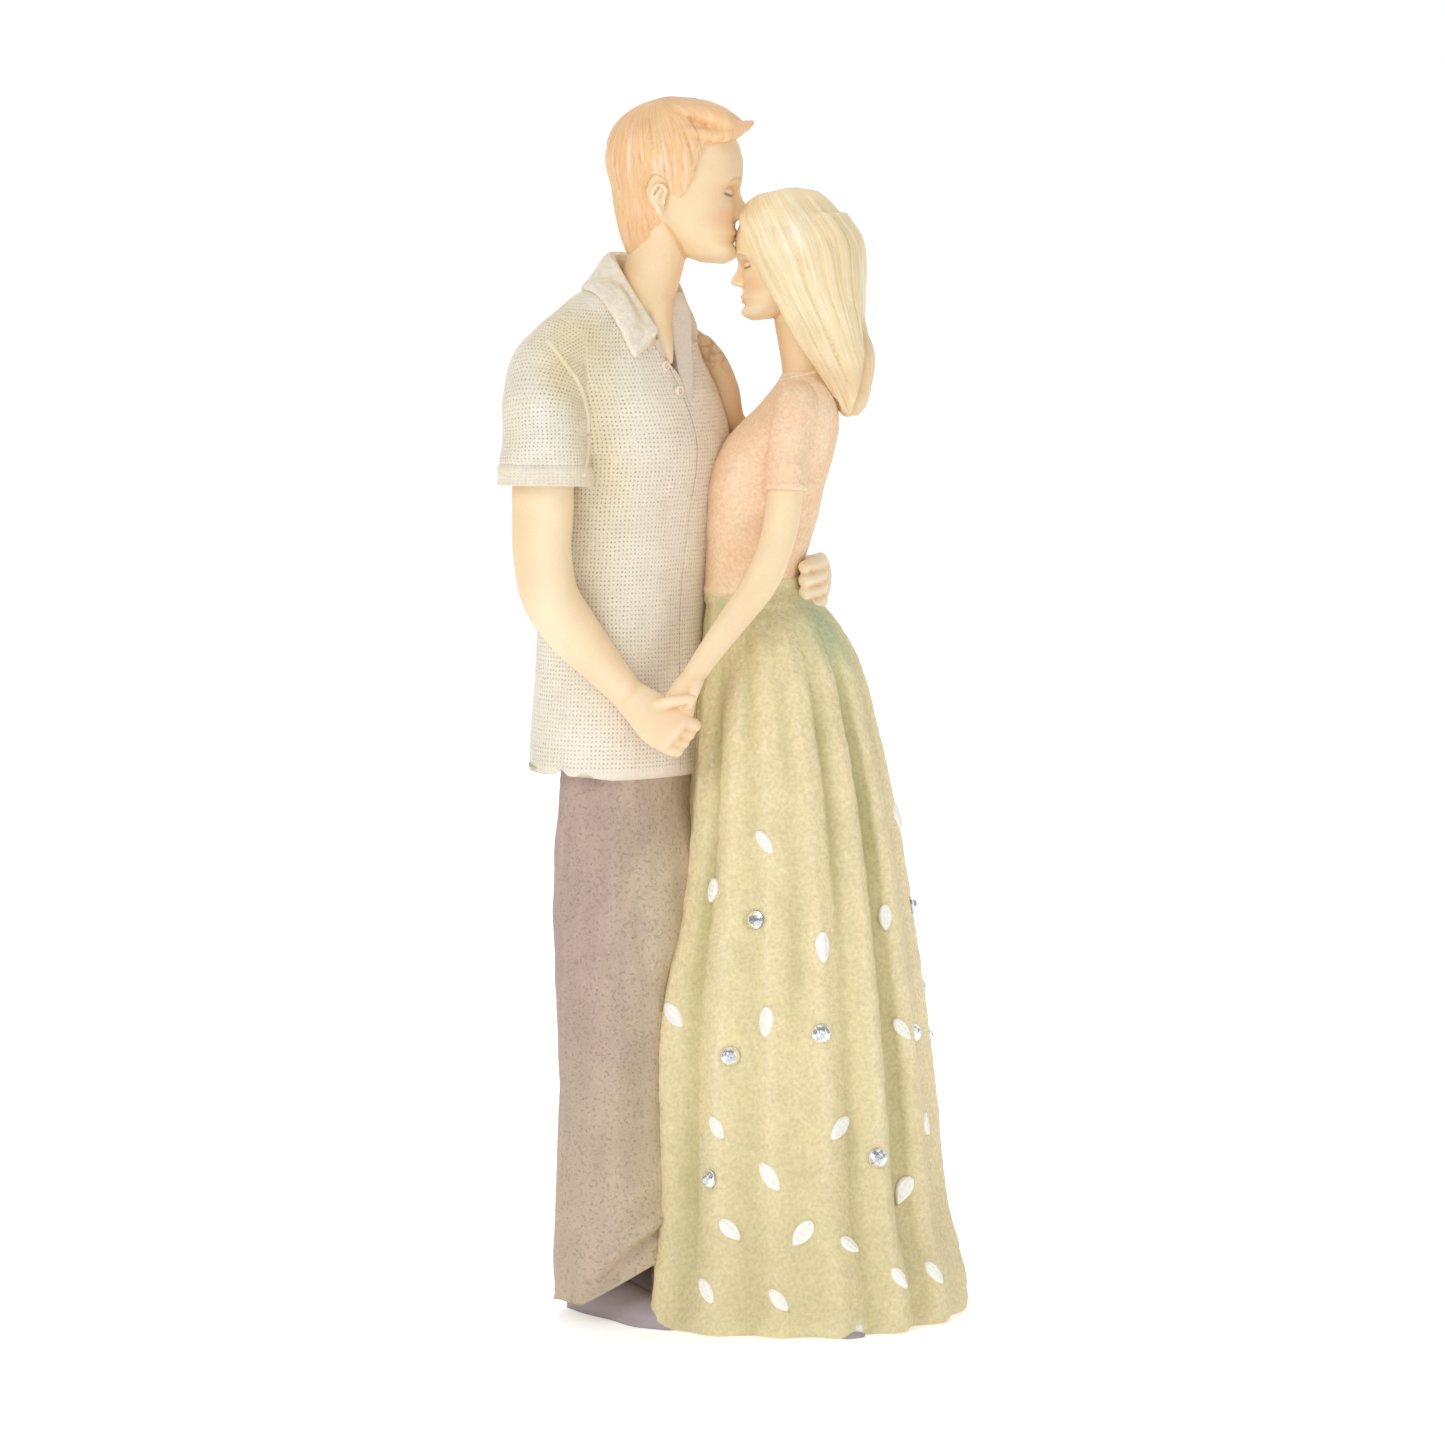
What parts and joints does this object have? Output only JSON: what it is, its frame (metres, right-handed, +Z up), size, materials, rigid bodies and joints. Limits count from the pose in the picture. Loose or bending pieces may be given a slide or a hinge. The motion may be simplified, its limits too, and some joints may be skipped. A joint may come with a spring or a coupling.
{
  "type": "figurine",
  "caption": "Painted resin figurine of a standing couple in an embrace, their hands joined, the skirt set with raised leaves and clear faceted stones.",
  "frame": {"origin": "middle of the flat underside", "axes": "+Z up out of the underside; +Y away from the viewer of the front, so the front faces -Y; the man stands towards -X and the woman towards +X"},
  "size_m": [0.0957, 0.067, 0.2495],
  "materials": {
    "casting": "matte",
    "stone": "polished"
  },
  "bodies": {
    "root": {"couple_casting": "casting", "rhinestone_01": "stone", "rhinestone_02": "stone", "rhinestone_03": "stone", "rhinestone_04": "stone", "rhinestone_05": "stone", "rhinestone_06": "stone", "rhinestone_07": "stone", "rhinestone_08": "stone", "rhinestone_09": "stone", "rhinestone_10": "stone", "rhinestone_11": "stone", "rhinestone_12": "stone", "rhinestone_13": "stone"}
  },
  "joints": []
}
